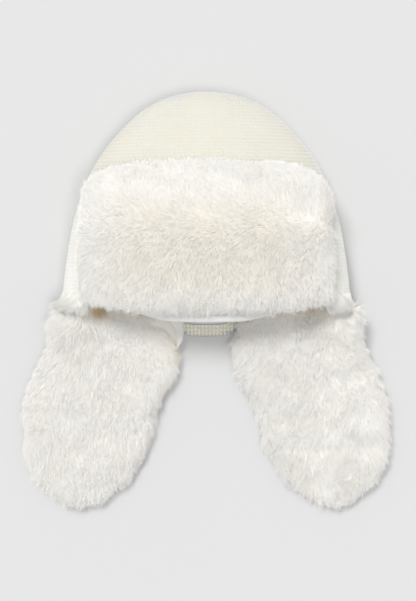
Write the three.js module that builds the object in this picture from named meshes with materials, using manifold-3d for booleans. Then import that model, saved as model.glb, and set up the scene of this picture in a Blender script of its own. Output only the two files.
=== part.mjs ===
// A knitted aviator hat with a turned-up fur front and two fur-faced ear flaps, lying on its back.
// Millimetres, +Z up. X runs across the hat, +Y runs from the ear flaps to the top of the crown,
// and the face side looks up. The origin is on the surface, below the middle of the hat.

import * as THREE from "three";
import { mergeVertices } from "three/addons/utils/BufferGeometryUtils.js";
import Module from "manifold-3d";

const wasm = await Module();
wasm.setup();

// Crown: the knitted shell that the head goes in
const CROWN_WIDTH = 258;
const CROWN_LENGTH = 186;
const CROWN_DEPTH = 74;
const KNIT_WALL = 4;
const FRONT_RIM_DROP = 2;
const NAPE_DROP = 34;
const NAPE_CLIMB = 42;

// Lining: a thin shell inside the crown, which starts above a turned hem of bare knit
const LINING_WALL = 1.5;
const HEM_DEPTH = 10;

// Fold band: the smooth rolled edge under the front rim, where the front turns up
const BAND_LENGTH = 178;
const BAND_HEIGHT = 11;
const BAND_TAPER = 1.4;

// Front flap: its cloth, which lies on the crown, and the pile that stands on it
const FLAP_WIDTH = 212;
const FLAP_HEIGHT = 110;
const FLAP_TOP_CORNER_DROP = 14;
const FLAP_BOTTOM_CORNER_RISE = 9;
const FLAP_PILE = 19;

// Ear flaps: a knitted outer panel below, and a fur panel on its inner side
const EAR_WIDTH = 110;
const EAR_LENGTH = 172;
const EAR_LEAN = 38;
const EAR_SPACING = 46;
const EAR_LANDING = 70;
const EAR_PILE = 17;

// Pile: how far it stands out beyond its cloth, and the locks that it falls into
const PILE_OVERHANG = 5;
const SIDE_EASE = 0.5;
const END_EASE = 0.45;
const LOCK_LENGTH = 29;
const LOCK_WIDTH = 22;
const LOCK_DEPTH = 10;
const LOCK_PITCH = 22;
const LOCK_LIFT = 0.12;
const LOCK_TAPER = 0.5;
const FLAP_FAN = 0;
const EAR_FAN = 1.9;

// Clearances between pieces, and between the pile and the surface that the hat lies on
const SEAM_GAP = 0.35;
const BACKING_GAP = 0.75;
const FLOOR_GAP = 0.8;

// Mesh fineness
const NAPE_STEPS = 2;
const PANEL_STEPS = 10;
const FRONT_STEPS = 12;
const CROWN_ROWS = 11;
const LINING_ROWS = 8;
const PANEL_ROWS = 10;
const BAND_STEPS = 20;
const BAND_SIDES = 8;
const PAD_STEP = 17;
const EDGE_CROWDING = 0.35;
const LOCK_SIDES = 5;
const LOCK_RINGS = 3;

// Each row is one cross-section of the crown. along is a share of CROWN_LENGTH above the side rim,
// width one of CROWN_WIDTH, and top, side and under are shares of CROWN_DEPTH: the heights of the
// section's highest, widest and lowest lines. What lies under the surface is pressed flat on it.
const CROWN_SECTIONS = [
  { along: -0.25, width: 0.99, top: 0.95, side: 0.34, under: -0.08 },
  { along: 0.0, width: 1.0, top: 0.985, side: 0.35, under: -0.08 },
  { along: 0.2, width: 0.962, top: 1.0, side: 0.36, under: -0.08 },
  { along: 0.39, width: 0.918, top: 0.99, side: 0.36, under: -0.08 },
  { along: 0.57, width: 0.833, top: 0.95, side: 0.36, under: -0.08 },
  { along: 0.71, width: 0.718, top: 0.88, side: 0.36, under: -0.08 },
  { along: 0.82, width: 0.582, top: 0.79, side: 0.36, under: -0.06 },
  { along: 0.9, width: 0.46, top: 0.7, side: 0.36, under: -0.01 },
  { along: 0.957, width: 0.324, top: 0.6, side: 0.36, under: 0.08 },
  { along: 0.99, width: 0.17, top: 0.49, side: 0.36, under: 0.22 },
  { along: 1.0, width: 0.0, top: 0.36, side: 0.36, under: 0.36 },
];

// Each row is one level of an ear flap. down is a share of its length below the rim, width one of
// EAR_WIDTH, and shift one of EAR_LEAN: how far its middle has moved outwards.
const EAR_LEVELS = [
  { down: 0.0, width: 0.95, shift: 0.0 },
  { down: 0.21, width: 0.97, shift: 0.19 },
  { down: 0.37, width: 1.0, shift: 0.47 },
  { down: 0.52, width: 0.985, shift: 0.69 },
  { down: 0.68, width: 0.94, shift: 0.86 },
  { down: 0.8, width: 0.86, shift: 0.95 },
  { down: 0.88, width: 0.75, shift: 0.99 },
  { down: 0.94, width: 0.6, shift: 1.0 },
  { down: 0.985, width: 0.34, shift: 1.0 },
  { down: 1.0, width: 0.0, shift: 1.0 },
];

const COLOURS = { knit: 0xf2f0e2, lining: 0xd9d8d0, fur: 0xf0eee8 };

const FRONT = Math.PI / 2;
const BACK = -FRONT;
const STEP = 1e-3;
const ARC_STEP = Math.PI / 120;

// A smooth curve through a table's rows. It runs on past the last row to that row's mirror image,
// so that the form is round there and not pointed.
function tableCurve(rows, mirrorRow, toVector) {
  const beyond = rows.slice(0, -1).reverse().map(mirrorRow);
  return new THREE.CatmullRomCurve3([...rows, ...beyond].map(toVector), false, "catmullrom", 0.5);
}

const oppositeSection = (row) => ({ ...row, width: -row.width, top: row.under, under: row.top });
const crownPlan = tableCurve(
  CROWN_SECTIONS,
  oppositeSection,
  (row) => new THREE.Vector3(row.along, row.width, 0),
);
const crownHeights = tableCurve(
  CROWN_SECTIONS,
  oppositeSection,
  (row) => new THREE.Vector3(row.top, row.side, row.under),
);
const earPlan = tableCurve(
  EAR_LEVELS,
  (row) => ({ ...row, width: -row.width }),
  (row) => new THREE.Vector3(row.down, row.width, row.shift),
);

// The crown's section at t, which runs from 0 at the table's first row to 1 at the top.
function crownSection(t) {
  const plan = crownPlan.getPoint(t / 2);
  const heights = crownHeights.getPoint(t / 2);
  return {
    y: plan.x * CROWN_LENGTH,
    half: (plan.y * CROWN_WIDTH) / 2,
    top: heights.x * CROWN_DEPTH,
    side: heights.y * CROWN_DEPTH,
    under: heights.z * CROWN_DEPTH,
  };
}

// Halves the interval from 0 to 1 until it closes on the value where read passes the target.
function findShare(read, target) {
  let low = 0;
  let high = 1;
  while (high - low > 1e-9) {
    const middle = (low + high) / 2;
    if (read(middle) < target) low = middle;
    else high = middle;
  }
  return (low + high) / 2;
}

const crownAt = (y) => findShare((t) => crownPlan.getPoint(t / 2).x * CROWN_LENGTH, y);
const earAt = (down) => findShare((share) => earPlan.getPoint(share / 2).x, down);

// A point of the crown's outer face before it is pressed flat. The angle turns from +X to +Z.
function sectionPoint(section, angle) {
  const rise = Math.sin(angle);
  const reach = rise > 0 ? section.top - section.side : section.side - section.under;
  return new THREE.Vector3(section.half * Math.cos(angle), section.y, section.side + reach * rise);
}

const crownRound = (angle, t) => sectionPoint(crownSection(t), angle);

function crownNormal(angle, t) {
  if (t > 1 - 2 * STEP) return new THREE.Vector3(0, 1, 0);
  const around = crownRound(angle + STEP, t).sub(crownRound(angle - STEP, t));
  const along = crownRound(angle, t + STEP).sub(crownRound(angle, t - STEP));
  return around.cross(along).negate().normalize();
}

// A point that lies depth inside the crown's outer face, or outside it where depth is below 0.
function crownPoint(angle, t, depth) {
  const point = crownRound(angle, t).addScaledVector(crownNormal(angle, t), -depth);
  point.z = Math.max(point.z, depth);
  return point;
}

// The angle on the right side at a distance along the knit from the front or back middle line.
function angleAtArc(middle, distance, t) {
  const section = crownSection(t);
  const turn = middle === FRONT ? -ARC_STEP : ARC_STEP;
  let angle = middle;
  let walked = 0;
  let last = sectionPoint(section, angle);
  while (Math.abs(angle - middle) < Math.PI) {
    const next = sectionPoint(section, angle + turn);
    const length = next.distanceTo(last);
    if (walked + length >= distance) return angle + (turn * (distance - walked)) / length;
    walked += length;
    angle += turn;
    last = next;
  }
  return angle;
}

const rimSection = crownAt(0);
const EAR_START = angleAtArc(BACK, EAR_SPACING / 2, rimSection);

// The rim dips a little at the front. At the nape it dips deep between the ear flaps, and climbs
// from there along their roots.
function rimY(angle) {
  const rise = Math.sin(angle);
  if (rise > 0) return -FRONT_RIM_DROP * rise ** 2;
  const aside = Math.abs(Math.cos(angle) * CROWN_WIDTH) / 2;
  return -NAPE_DROP * (1 - THREE.MathUtils.smoothstep(aside, EAR_SPACING / 3, EAR_SPACING / 3 + NAPE_CLIMB));
}

// The crown's columns: from the back middle line round the right side to the front, then the left.
const angleSteps = (from, to, count) =>
  Array.from({ length: count }, (_, k) => from + ((to - from) * k) / count);
const panelAngles = [...angleSteps(EAR_START, 0, PANEL_STEPS), 0];
const rightAngles = [
  ...angleSteps(BACK, EAR_START, NAPE_STEPS),
  ...panelAngles,
  ...angleSteps(0, FRONT, FRONT_STEPS).slice(1),
];
const leftAngles = rightAngles.slice(1).reverse().map((angle) => Math.PI - angle);
const CROWN_ANGLES = [...rightAngles, FRONT, ...leftAngles];

// A closed geometry from points and triangles, with the points that meet merged.
function solidGeometry(points, triangles) {
  const loose = new THREE.BufferGeometry();
  const corners = triangles.flat().flatMap((index) => points[index].toArray());
  loose.setAttribute("position", new THREE.Float32BufferAttribute(corners, 3));
  const merged = mergeVertices(loose, STEP);
  const kept = [];
  for (let start = 0; start < merged.index.count; start += 3) {
    const [a, b, c] = [0, 1, 2].map((corner) => merged.index.getX(start + corner));
    if (a !== b && b !== c && c !== a) kept.push(a, b, c);
  }
  merged.setIndex(kept);
  merged.computeVertexNormals();
  return merged;
}

// A closed sheet between two faces, each a function of column i and row j, with walls along its
// open edges. The first face looks along the columns' way crossed with the rows' way. A sheet that
// wraps has no edges at its first and last columns.
function closedSheet(columns, rows, first, second, wraps = false) {
  const points = [];
  const triangles = [];
  const at = (face, i, j) => (face * (columns + 1) + i) * (rows + 1) + j;
  const quad = (a, b, c, d) => triangles.push([a, b, c], [a, c, d]);
  for (const face of [first, second]) {
    for (let i = 0; i <= columns; i += 1) {
      const column = wraps ? i % columns : i;
      for (let j = 0; j <= rows; j += 1) points.push(face(column, j));
    }
  }
  for (let i = 0; i < columns; i += 1) {
    for (let j = 0; j < rows; j += 1) {
      quad(at(0, i, j), at(0, i + 1, j), at(0, i + 1, j + 1), at(0, i, j + 1));
      quad(at(1, i, j), at(1, i, j + 1), at(1, i + 1, j + 1), at(1, i + 1, j));
    }
    quad(at(0, i, 0), at(1, i, 0), at(1, i + 1, 0), at(0, i + 1, 0));
    quad(at(0, i, rows), at(0, i + 1, rows), at(1, i + 1, rows), at(1, i, rows));
  }
  for (let j = 0; j < rows && !wraps; j += 1) {
    quad(at(0, 0, j), at(0, 0, j + 1), at(1, 0, j + 1), at(1, 0, j));
    quad(at(0, columns, j), at(1, columns, j), at(1, columns, j + 1), at(0, columns, j + 1));
  }
  return solidGeometry(points, triangles);
}

// A shell of the crown, from depth to depth + wall inside its outer face. edgeY gives its rim.
function crownShell(rows, depth, wall, edgeY) {
  const starts = CROWN_ANGLES.map((angle) => crownAt(edgeY(angle)));
  const face = (inside) => (i, j) =>
    crownPoint(CROWN_ANGLES[i], starts[i] + ((1 - starts[i]) * j) / rows, inside);
  return closedSheet(CROWN_ANGLES.length, rows, face(depth + wall), face(depth), true);
}

// The lining's edge lies on the crown's rim at the front, and above the hem at the nape.
function liningEdge(angle) {
  const rim = rimY(angle);
  if (Math.sin(angle) > 0) return rim;
  return rim + SEAM_GAP + HEM_DEPTH * (-rim / NAPE_DROP);
}

// The fold band: a flattened roll that is swept along the front rim, face to face with it.
function foldBand() {
  const thickness = KNIT_WALL + BACKING_GAP + LINING_WALL;
  const half = angleAtArc(FRONT, BAND_LENGTH / 2, rimSection);
  const ring = (i, j) => {
    const angle = half + ((Math.PI - 2 * half) * i) / BAND_STEPS;
    const turn = (j / BAND_SIDES) * 2 * Math.PI;
    const fullness = Math.min(1, BAND_TAPER * Math.sqrt(Math.sin((Math.PI * i) / BAND_STEPS)));
    const middle = rimY(angle) - SEAM_GAP - BAND_HEIGHT / 2;
    const y = middle + (BAND_HEIGHT / 2) * fullness * Math.cos(turn);
    const depth = (thickness / 2) * (1 - fullness * Math.sin(turn));
    return crownPoint(angle, crownAt(y), depth);
  };
  const points = [];
  const triangles = [];
  for (let i = 0; i <= BAND_STEPS; i += 1) {
    for (let j = 0; j < BAND_SIDES; j += 1) points.push(ring(i, j));
  }
  for (let i = 0; i < BAND_STEPS; i += 1) {
    for (let j = 0; j < BAND_SIDES; j += 1) {
      const next = (j + 1) % BAND_SIDES;
      const [a, b] = [i * BAND_SIDES + j, i * BAND_SIDES + next];
      triangles.push([a, b + BAND_SIDES, b], [a, a + BAND_SIDES, b + BAND_SIDES]);
    }
  }
  return solidGeometry(points, triangles);
}

// Both cloth surfaces below are functions of across and up, from -1 to 1, the height above the
// cloth, and the overhang by which the outline is widened.

// The front flap's cloth lies on the outside of the crown, and is measured along the knit.
function flapSurface(across, up, height, overhang) {
  const top = FLAP_HEIGHT - FRONT_RIM_DROP - FLAP_TOP_CORNER_DROP * Math.abs(across) ** 5 + overhang;
  const bottom = -FRONT_RIM_DROP + FLAP_BOTTOM_CORNER_RISE * across ** 2 - overhang;
  const t = crownAt(THREE.MathUtils.mapLinear(up, -1, 1, bottom, top));
  const right = angleAtArc(FRONT, Math.abs(across) * (FLAP_WIDTH / 2 + overhang), t);
  return crownPoint(across < 0 ? Math.PI - right : right, t, -BACKING_GAP - height);
}

// The right ear flap carries on from the crown's back wall and comes down onto the surface. across
// is -1 beside the nape, and up is 1 at the rim. depth is measured from the outer, lower face.
function earPoint(across, up, depth, overhang) {
  const turn = THREE.MathUtils.clamp((across + 1) / 2, 0, 1);
  const angle = EAR_START * (1 - turn);
  const top = rimY(angle) - SEAM_GAP;
  const down = (1 - up) / 2;
  const level = earPlan.getPoint(earAt(down) / 2);
  const width = (EAR_WIDTH + 2 * overhang) * level.y;
  const reach = -EAR_LENGTH - overhang - top;
  const root = crownPoint(angle, crownAt(rimY(angle)), depth);
  const flat = new THREE.Vector3(
    (EAR_SPACING + CROWN_WIDTH) / 4 + EAR_LEAN * level.z + (across * width) / 2,
    top + reach * down,
    depth,
  );
  root.y = flat.y;
  root.x += overhang * across;
  return root.lerp(flat, THREE.MathUtils.smoothstep(-reach * down, 0, EAR_LANDING));
}

// The cloth that the ear flap's pile stands on is the inner face of its knitted panel.
function earSurface(across, up, height, overhang) {
  const point = earPoint(across, up, KNIT_WALL + BACKING_GAP, overhang);
  point.z += height;
  return point;
}

function earPanel() {
  const face = (depth) => (i, j) =>
    earPoint((2 * i) / PANEL_STEPS - 1, 1 - (2 * j) / PANEL_ROWS, depth, 0);
  return closedSheet(PANEL_STEPS, PANEL_ROWS, face(0), face(KNIT_WALL));
}

function toManifold(geometry) {
  const plain = new THREE.BufferGeometry();
  plain.setAttribute("position", geometry.getAttribute("position"));
  plain.setIndex(geometry.index);
  const merged = mergeVertices(plain, STEP);
  const mesh = new wasm.Mesh({
    numProp: 3,
    vertProperties: new Float32Array(merged.getAttribute("position").array),
    triVerts: new Uint32Array(merged.index.array),
  });
  return new wasm.Manifold(mesh);
}

function fromManifold(solid) {
  const mesh = solid.getMesh();
  const geometry = new THREE.BufferGeometry();
  geometry.setAttribute("position", new THREE.Float32BufferAttribute(mesh.vertProperties, 3));
  geometry.setIndex([...mesh.triVerts]);
  geometry.computeVertexNormals();
  return geometry;
}

// The height of the pile, which is lower towards the edges of its cloth.
const pileHeight = (pile, across, up) =>
  pile * (1 - SIDE_EASE * Math.abs(across) ** 4) * (1 - END_EASE * Math.abs(up) ** 5);

// One lock: a rounded leaf that starts at the origin, points along +Y and narrows to its tip.
function lockGeometry() {
  const leaf = new THREE.SphereGeometry(0.5, LOCK_SIDES, LOCK_RINGS);
  const positions = leaf.getAttribute("position");
  for (let k = 0; k < positions.count; k += 1) {
    const along = positions.getY(k) + 0.5;
    const taper = 1 + LOCK_TAPER * (0.5 - along);
    positions.setXYZ(k, positions.getX(k) * taper, along, positions.getZ(k) * taper);
  }
  return leaf.scale(LOCK_WIDTH, LOCK_LENGTH, LOCK_DEPTH);
}

// A fur pad: a backing that stands on the cloth, with rows of locks fused to it, which fan out
// from the middle line at the level that fan gives.
function furPad(surface, pile, width, length, fan) {
  const columns = Math.round(width / PAD_STEP);
  const rows = Math.round(length / PAD_STEP);
  const spread = (k, count) => THREE.MathUtils.mapLinear(k, 0, count, -1, 1);
  const crowd = (k, count) =>
    THREE.MathUtils.lerp(spread(k, count), Math.sin((spread(k, count) * Math.PI) / 2), EDGE_CROWDING);
  const outer = (across, up) => surface(across, up, pileHeight(pile, across, up), PILE_OVERHANG);
  const face = (read) => (i, j) => read(crowd(i, columns), crowd(j, rows));
  const backing = closedSheet(
    columns,
    rows,
    face(outer),
    face((across, up) => surface(across, up, 0, 0)),
  );
  let fur = toManifold(backing);
  const lock = lockGeometry();
  const lockRows = Math.round(length / LOCK_PITCH);
  const lockColumns = Math.round(width / LOCK_PITCH);
  for (let row = 0; row < lockRows; row += 1) {
    for (let column = 0; column < lockColumns - (row % 2); column += 1) {
      const across = (2 * (column + 0.5 + (row % 2) / 2)) / lockColumns - 1;
      const up = (2 * (row + 0.5)) / lockRows - 1;
      const here = outer(across, up);
      const aside = outer(across + STEP, up).sub(here);
      const ahead = outer(across, up + STEP).sub(here);
      const normal = aside.clone().cross(ahead).normalize();
      const along = aside.normalize().multiplyScalar(across * width);
      along.addScaledVector(ahead.normalize(), (up - fan) * length).normalize();
      along.addScaledVector(normal, -along.dot(normal)).normalize();
      along.addScaledVector(normal, LOCK_LIFT).normalize();
      const side = along.clone().cross(normal).normalize();
      const out = side.clone().cross(along);
      const place = new THREE.Matrix4().makeBasis(side, along, out).setPosition(here);
      place.multiply(new THREE.Matrix4().makeTranslation(0, -LOCK_LENGTH / 3, -LOCK_DEPTH / 8));
      fur = fur.add(toManifold(lock.clone().applyMatrix4(place)));
    }
  }
  return fur;
}

// A slab with its upper face at a height, which cuts away what would reach below it.
function slabBelow(height) {
  const size = 4 * (CROWN_WIDTH + EAR_LENGTH);
  return toManifold(new THREE.BoxGeometry(size, size, size).translate(0, 0, height - size / 2));
}

function mirrored(geometry) {
  const copy = geometry.clone().applyMatrix4(new THREE.Matrix4().makeScale(-1, 1, 1));
  const order = copy.index.array;
  for (let start = 0; start < order.length; start += 3) {
    [order[start], order[start + 1]] = [order[start + 1], order[start]];
  }
  copy.computeVertexNormals();
  return copy;
}

function piece(name, geometry, colour) {
  const material = new THREE.MeshStandardMaterial({ color: colour, roughness: 0.9, metalness: 0 });
  const mesh = new THREE.Mesh(geometry, material);
  mesh.name = name;
  return mesh;
}

const liningDepth = KNIT_WALL + BACKING_GAP;
const earPanelRight = earPanel();
const earPadRight = furPad(earSurface, EAR_PILE, EAR_WIDTH, EAR_LENGTH, EAR_FAN);
const earFurRight = fromManifold(earPadRight.subtract(slabBelow(FLOOR_GAP)));
const frontFur = fromManifold(furPad(flapSurface, FLAP_PILE, FLAP_WIDTH, FLAP_HEIGHT, FLAP_FAN));

const part = new THREE.Group();
part.add(piece("crown_knit", crownShell(CROWN_ROWS, 0, KNIT_WALL, rimY), COLOURS.knit));
part.add(piece("lining", crownShell(LINING_ROWS, liningDepth, LINING_WALL, liningEdge), COLOURS.lining));
part.add(piece("fold_band", foldBand(), COLOURS.lining));
part.add(piece("front_flap_fur", frontFur, COLOURS.fur));
part.add(piece("ear_knit_right", earPanelRight, COLOURS.knit));
part.add(piece("ear_knit_left", mirrored(earPanelRight), COLOURS.knit));
part.add(piece("ear_fur_right", earFurRight, COLOURS.fur));
part.add(piece("ear_fur_left", mirrored(earFurRight), COLOURS.fur));

// The origin goes below the middle of the hat, on the surface.
const box = new THREE.Box3().setFromObject(part);
part.position.set(-(box.min.x + box.max.x) / 2, -(box.min.y + box.max.y) / 2, -box.min.z);

export default part;
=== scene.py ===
# %% [markdown]
# # A knitted aviator hat
# The hat lies on its back: a hollow knitted crown, a turned-up front of short white fur, and two ear
# flaps whose inner sides show the same fur. The solids of the model give every piece its place and
# size. This script gives them yarn, pile, lining and light.

# %% Load the frame
import math

import bmesh
import bpy
import numpy as np
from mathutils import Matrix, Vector
from mathutils.bvhtree import BVHTree


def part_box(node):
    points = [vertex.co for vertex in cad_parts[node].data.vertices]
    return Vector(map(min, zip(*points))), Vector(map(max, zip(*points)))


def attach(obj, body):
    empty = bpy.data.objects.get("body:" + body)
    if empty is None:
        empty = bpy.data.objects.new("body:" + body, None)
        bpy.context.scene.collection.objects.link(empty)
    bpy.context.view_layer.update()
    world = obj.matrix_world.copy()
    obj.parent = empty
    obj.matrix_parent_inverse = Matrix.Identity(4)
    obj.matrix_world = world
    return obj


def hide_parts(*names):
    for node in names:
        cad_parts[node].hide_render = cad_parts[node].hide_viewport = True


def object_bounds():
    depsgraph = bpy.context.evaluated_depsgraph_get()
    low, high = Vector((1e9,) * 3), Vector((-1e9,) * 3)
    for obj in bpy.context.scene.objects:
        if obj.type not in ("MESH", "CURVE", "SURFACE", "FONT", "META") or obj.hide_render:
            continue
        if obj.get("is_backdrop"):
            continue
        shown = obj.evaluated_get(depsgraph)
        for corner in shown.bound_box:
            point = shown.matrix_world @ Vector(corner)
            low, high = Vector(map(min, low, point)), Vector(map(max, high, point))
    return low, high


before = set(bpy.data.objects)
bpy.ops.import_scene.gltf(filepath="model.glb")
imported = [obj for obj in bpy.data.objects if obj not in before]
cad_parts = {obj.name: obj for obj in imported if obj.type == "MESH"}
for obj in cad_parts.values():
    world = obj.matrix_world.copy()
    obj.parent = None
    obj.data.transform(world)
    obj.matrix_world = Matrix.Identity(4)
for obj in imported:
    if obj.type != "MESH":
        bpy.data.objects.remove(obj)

MM = 0.001
cad_low, cad_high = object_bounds()
print("solids span", [round(v / MM) for v in (cad_high - cad_low)], "mm")


def linked(name, data):
    """A new object in the scene."""
    made = bpy.data.objects.new(name, data)
    bpy.context.scene.collection.objects.link(made)
    return made


# %% [markdown]
# ## Camera, floor and light
# The picture looks straight down on the hat, with the crown at the top. A long lens keeps the outline
# nearly free of perspective. The floor is a pale card, and the light is a broad soft one from beyond
# the crown, so that short shadows fall towards the ear flaps.

# %% Camera
IMAGE_HEIGHT_PX = 601
FLOOR_MM_PER_PX = 0.9
CAMERA_HEIGHT = 1.8
CAMERA_ASIDE = 1.35 * MM
SENSOR = 36

camera = linked("camera", bpy.data.cameras.new("camera"))
camera.data.sensor_width = SENSOR
camera.data.lens = SENSOR * CAMERA_HEIGHT / (IMAGE_HEIGHT_PX * FLOOR_MM_PER_PX * MM)
camera.location = (CAMERA_ASIDE, 0, CAMERA_HEIGHT)
bpy.context.scene.camera = camera
print("lens", round(camera.data.lens), "mm")

# %% Light and colour management
SKY_STRENGTH = 0.42
KEY_WAY = Vector((-0.23, 0.36, 0.87))
KEY_STRENGTH = 1.92
KEY_SPREAD = 18
TOP_WAY = Vector((0.1, -0.15, 1))
TOP_STRENGTH = 1.18
TOP_SPREAD = 24

world = bpy.data.worlds.new("studio")
world.use_nodes = True
sky = world.node_tree.nodes["Background"].inputs
sky["Color"].default_value = (1, 1, 1, 1)
sky["Strength"].default_value = SKY_STRENGTH
bpy.context.scene.world = world
bpy.context.scene.view_settings.view_transform = "Standard"


def soft_sun(name, way, strength, spread):
    """A far light of the given apparent width in degrees. Its way runs from the hat to the light."""
    sun = linked(name, bpy.data.lights.new(name, "SUN"))
    sun.data.energy = strength
    sun.data.angle = math.radians(spread)
    sun.location = way
    sun.rotation_euler = way.to_track_quat("Z", "Y").to_euler()


soft_sun("key_light", KEY_WAY, KEY_STRENGTH, KEY_SPREAD)
soft_sun("top_light", TOP_WAY, TOP_STRENGTH, TOP_SPREAD)

# %% [markdown]
# ## Finishes
# Each finish is a small node tree. Yarn, pile and lining differ in how they scatter light, and in the
# scale of their unevenness, so each gets its own colour variation and bump. Patterns read the piece's
# own coordinates or attributes, so that they stay on the piece from every side.


# %% Node helpers
def new_finish(name, roughness, sheen):
    """A material with one Principled shader, and the function that adds nodes to it."""
    made = bpy.data.materials.new(name)
    made.use_nodes = True
    tree = made.node_tree
    shader = tree.nodes["Principled BSDF"]
    values = {"Roughness": roughness, "Sheen Weight": sheen, "Specular IOR Level": 0.2}
    for socket, value in values.items():
        shader.inputs[socket].default_value = value

    def add(kind, values=(), **settings):
        node = tree.nodes.new(kind)
        for key_name, value in settings.items():
            setattr(node, key_name, value)
        for socket, value in dict(values).items():
            if hasattr(value, "is_output"):
                tree.links.new(value, node.inputs[socket])
            else:
                node.inputs[socket].default_value = value
        return node

    def link(output, socket):
        tree.links.new(output, shader.inputs[socket])

    return made, add, link


def two_colours(add, share, low, high):
    """Mixes two colours by a share."""
    values = {"Factor": share, "A": (*low, 1), "B": (*high, 1)}
    return add("ShaderNodeMix", values, data_type="RGBA").outputs["Result"]


def three_colours(add, share, low, middle, high):
    """Runs from one colour through another to a third by a share."""
    ramp = add("ShaderNodeValToRGB", {"Fac": share})
    stops = ramp.color_ramp.elements
    stops[0].color = (*low, 1)
    stops[1].color = (*high, 1)
    stops.new(0.5).color = (*middle, 1)
    return ramp.outputs["Color"]


def place_noise(add, scale, detail=2.0):
    """Noise over the piece's own coordinates, in metres."""
    where = add("ShaderNodeTexCoord").outputs["Object"]
    return add("ShaderNodeTexNoise", {"Vector": where, "Scale": scale, "Detail": detail}).outputs["Fac"]


# %% [markdown]
# ### Yarn
# The hat is knitted in matt cream yarn with a short fuzz. The stitches are real shapes, so instead of
# an image of knitting the finish needs only a colour that varies slowly, a sheen for the fuzz and a
# very fine bump. The yarn is the same everywhere, but crown, hem and inner cloth each have a tone set
# from how bright they look: the hem's is lighter, painted light for the shade inside the nape, and the
# inner cloth's darker and yellower, painted shade for the pits between the stitches. A blend makes the
# hat's sides paler, painted light for the shade that falls on them.

# %% Yarn and ground cloth
YARN_PATCHES = 45
FUZZ_SCALE = 2600
FUZZ_DEPTH = 0.3 * MM
# Painted light: the yarn turns paler towards the hat's sides, lifting the shade that falls there.
PAINTED_SIDE_LIGHT_YARN = (0.82, 0.815, 0.77)
PAINTED_LIGHT_FROM = 88 * MM
PAINTED_LIGHT_AT = 126 * MM


def yarn_finish(name, low, high, pale=None):
    """Matt fuzzy yarn. With a pale colour, it fades to that at the hat's sides: painted light."""
    made, add, link = new_finish(name, roughness=0.85, sheen=0.7)
    colour = two_colours(add, place_noise(add, YARN_PATCHES), low, high)
    if pale:
        where = add("ShaderNodeTexCoord").outputs["Object"]
        across = add("ShaderNodeSeparateXYZ", {"Vector": where}).outputs["X"]
        aside = add("ShaderNodeMath", {0: across}, operation="ABSOLUTE").outputs[0]
        reach = {"Value": aside, "From Min": PAINTED_LIGHT_FROM, "From Max": PAINTED_LIGHT_AT}
        share = add("ShaderNodeMapRange", reach, interpolation_type="SMOOTHSTEP").outputs["Result"]
        values = {"Factor": share, "A": colour, "B": (*pale, 1)}
        colour = add("ShaderNodeMix", values, data_type="RGBA").outputs["Result"]
    link(colour, "Base Color")
    fuzz = place_noise(add, FUZZ_SCALE, detail=3)
    bump = add("ShaderNodeBump", {"Height": fuzz, "Strength": 0.35, "Distance": FUZZ_DEPTH})
    link(bump.outputs["Normal"], "Normal")
    return made


cream_yarn = yarn_finish("cream_yarn", (0.685, 0.685, 0.665), (0.715, 0.715, 0.7), PAINTED_SIDE_LIGHT_YARN)
# The hem's tone is lighter than the crown's: painted light for the shade inside the nape.
hem_painted_light_yarn = yarn_finish("hem_painted_light_yarn", (0.9, 0.89, 0.82), (0.93, 0.92, 0.86))
# The inner cloth's darker, yellower tone is painted shade for the pits between the stitches.
shaded_yarn = yarn_finish("shaded_yarn", (0.66, 0.63, 0.5), (0.7, 0.67, 0.55), PAINTED_SIDE_LIGHT_YARN)


# %% [markdown]
# ### Lining
# The lining, the rolled fold and the seam's binding are smooth woven cloth. Its threads are too fine
# to model, so two sets of waves that cross make a bump.

# %% Woven cloth
LINING_PATCHES = 30
THREADS = 320
WEAVE_DEPTH = 0.1 * MM


def lining_finish(name, low, high):
    """Smooth woven cloth between two colours."""
    made, add, link = new_finish(name, roughness=0.6, sheen=0.1)
    link(two_colours(add, place_noise(add, LINING_PATCHES), low, high), "Base Color")
    where = add("ShaderNodeTexCoord").outputs["Object"]
    values = {"Vector": where, "Scale": THREADS, "Distortion": 0.4}
    waves = [add("ShaderNodeTexWave", values, bands_direction=way) for way in ("X", "Y")]
    heights = {k: wave.outputs["Fac"] for k, wave in enumerate(waves)}
    weave = add("ShaderNodeMath", heights, operation="ADD")
    bump = add("ShaderNodeBump", {"Height": weave.outputs[0], "Strength": 0.25, "Distance": WEAVE_DEPTH})
    link(bump.outputs["Normal"], "Normal")
    return made


# The lining's lighter tone is painted light for the shade inside the nape, and the fold's greyer tone is
# painted shade under the fringe.
lining_painted_light_finish = lining_finish("lining_cloth", (0.87, 0.87, 0.83), (0.91, 0.91, 0.875))
fold_painted_shade_finish = lining_finish("fold_painted_shade_cloth", (0.68, 0.685, 0.665), (0.73, 0.735, 0.715))
binding_finish = lining_finish("binding_cloth", (0.74, 0.725, 0.68), (0.78, 0.765, 0.72))


# %% [markdown]
# ### Pile
# White imitation fur is darker and warmer at its roots, and tan shows where it parts at a seam; that
# tan is partly painted shade for the crease. Every hair carries how far along it a point is and how
# warm it is. Two colour ramps read these, so that one material serves it all.

# %% Fur
PILE_PATCHES = 60
WARM_DYE = (0.985, 0.94, 0.86)
# Tan for the seam's crease: partly the roots' own colour, partly painted shade.
TAN_AND_CREASE_SHADE = (0.7, 0.52, 0.32)
PILE_ROOT = (0.9, 0.87, 0.81)
PILE_MIDDLE = (0.94, 0.93, 0.905)
PILE_TIP = (0.955, 0.958, 0.948)
# The rim's pile is a greyer copy of the pile's colours: painted shade.
RIM_PAINTED_SHADE = (0.87, 0.865, 0.845)


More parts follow.
